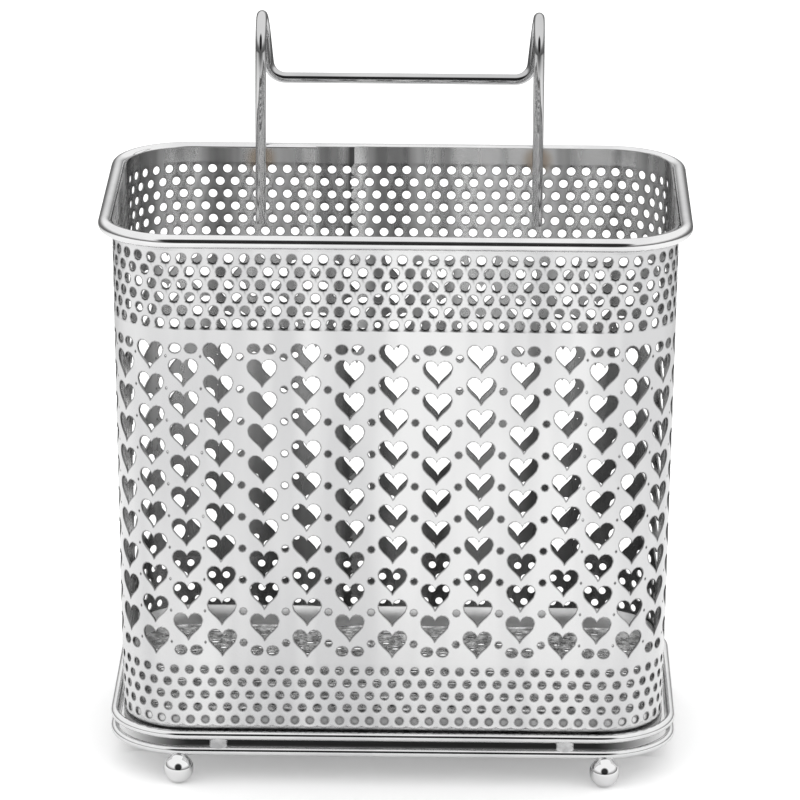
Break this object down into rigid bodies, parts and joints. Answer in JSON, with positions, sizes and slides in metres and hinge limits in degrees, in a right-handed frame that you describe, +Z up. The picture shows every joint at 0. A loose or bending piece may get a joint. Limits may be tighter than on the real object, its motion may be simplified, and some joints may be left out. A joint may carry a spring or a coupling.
{
  "type": "cutlery holder",
  "caption": "Perforated steel cutlery basket with a wire rim, a bent wire rail hanger at the back, and a ringed wire base on ball feet.",
  "frame": {"origin": "on the standing surface, midway between the four ball feet, below the middle of the basket", "axes": "+Z up, +Y to the back where the hanger is, +X to the right seen from the front"},
  "size_m": [0.1946, 0.1417, 0.234],
  "materials": {
    "polished_sheet": "polished stainless sheet, slightly wavy",
    "bright_wire": "mirror bright drawn wire",
    "bright_ball": "mirror bright ball"
  },
  "bodies": {
    "root": {"basket_wall": "polished_sheet", "basket_floor": "polished_sheet", "rim_wire": "bright_wire", "hanger_wire": "bright_wire", "base_upper_ring": "bright_wire", "base_lower_ring": "bright_wire", "cross_wire_left": "bright_wire", "cross_wire_right": "bright_wire", "foot_front_left": "bright_ball", "foot_front_right": "bright_ball", "foot_rear_left": "bright_ball", "foot_rear_right": "bright_ball"}
  },
  "joints": []
}
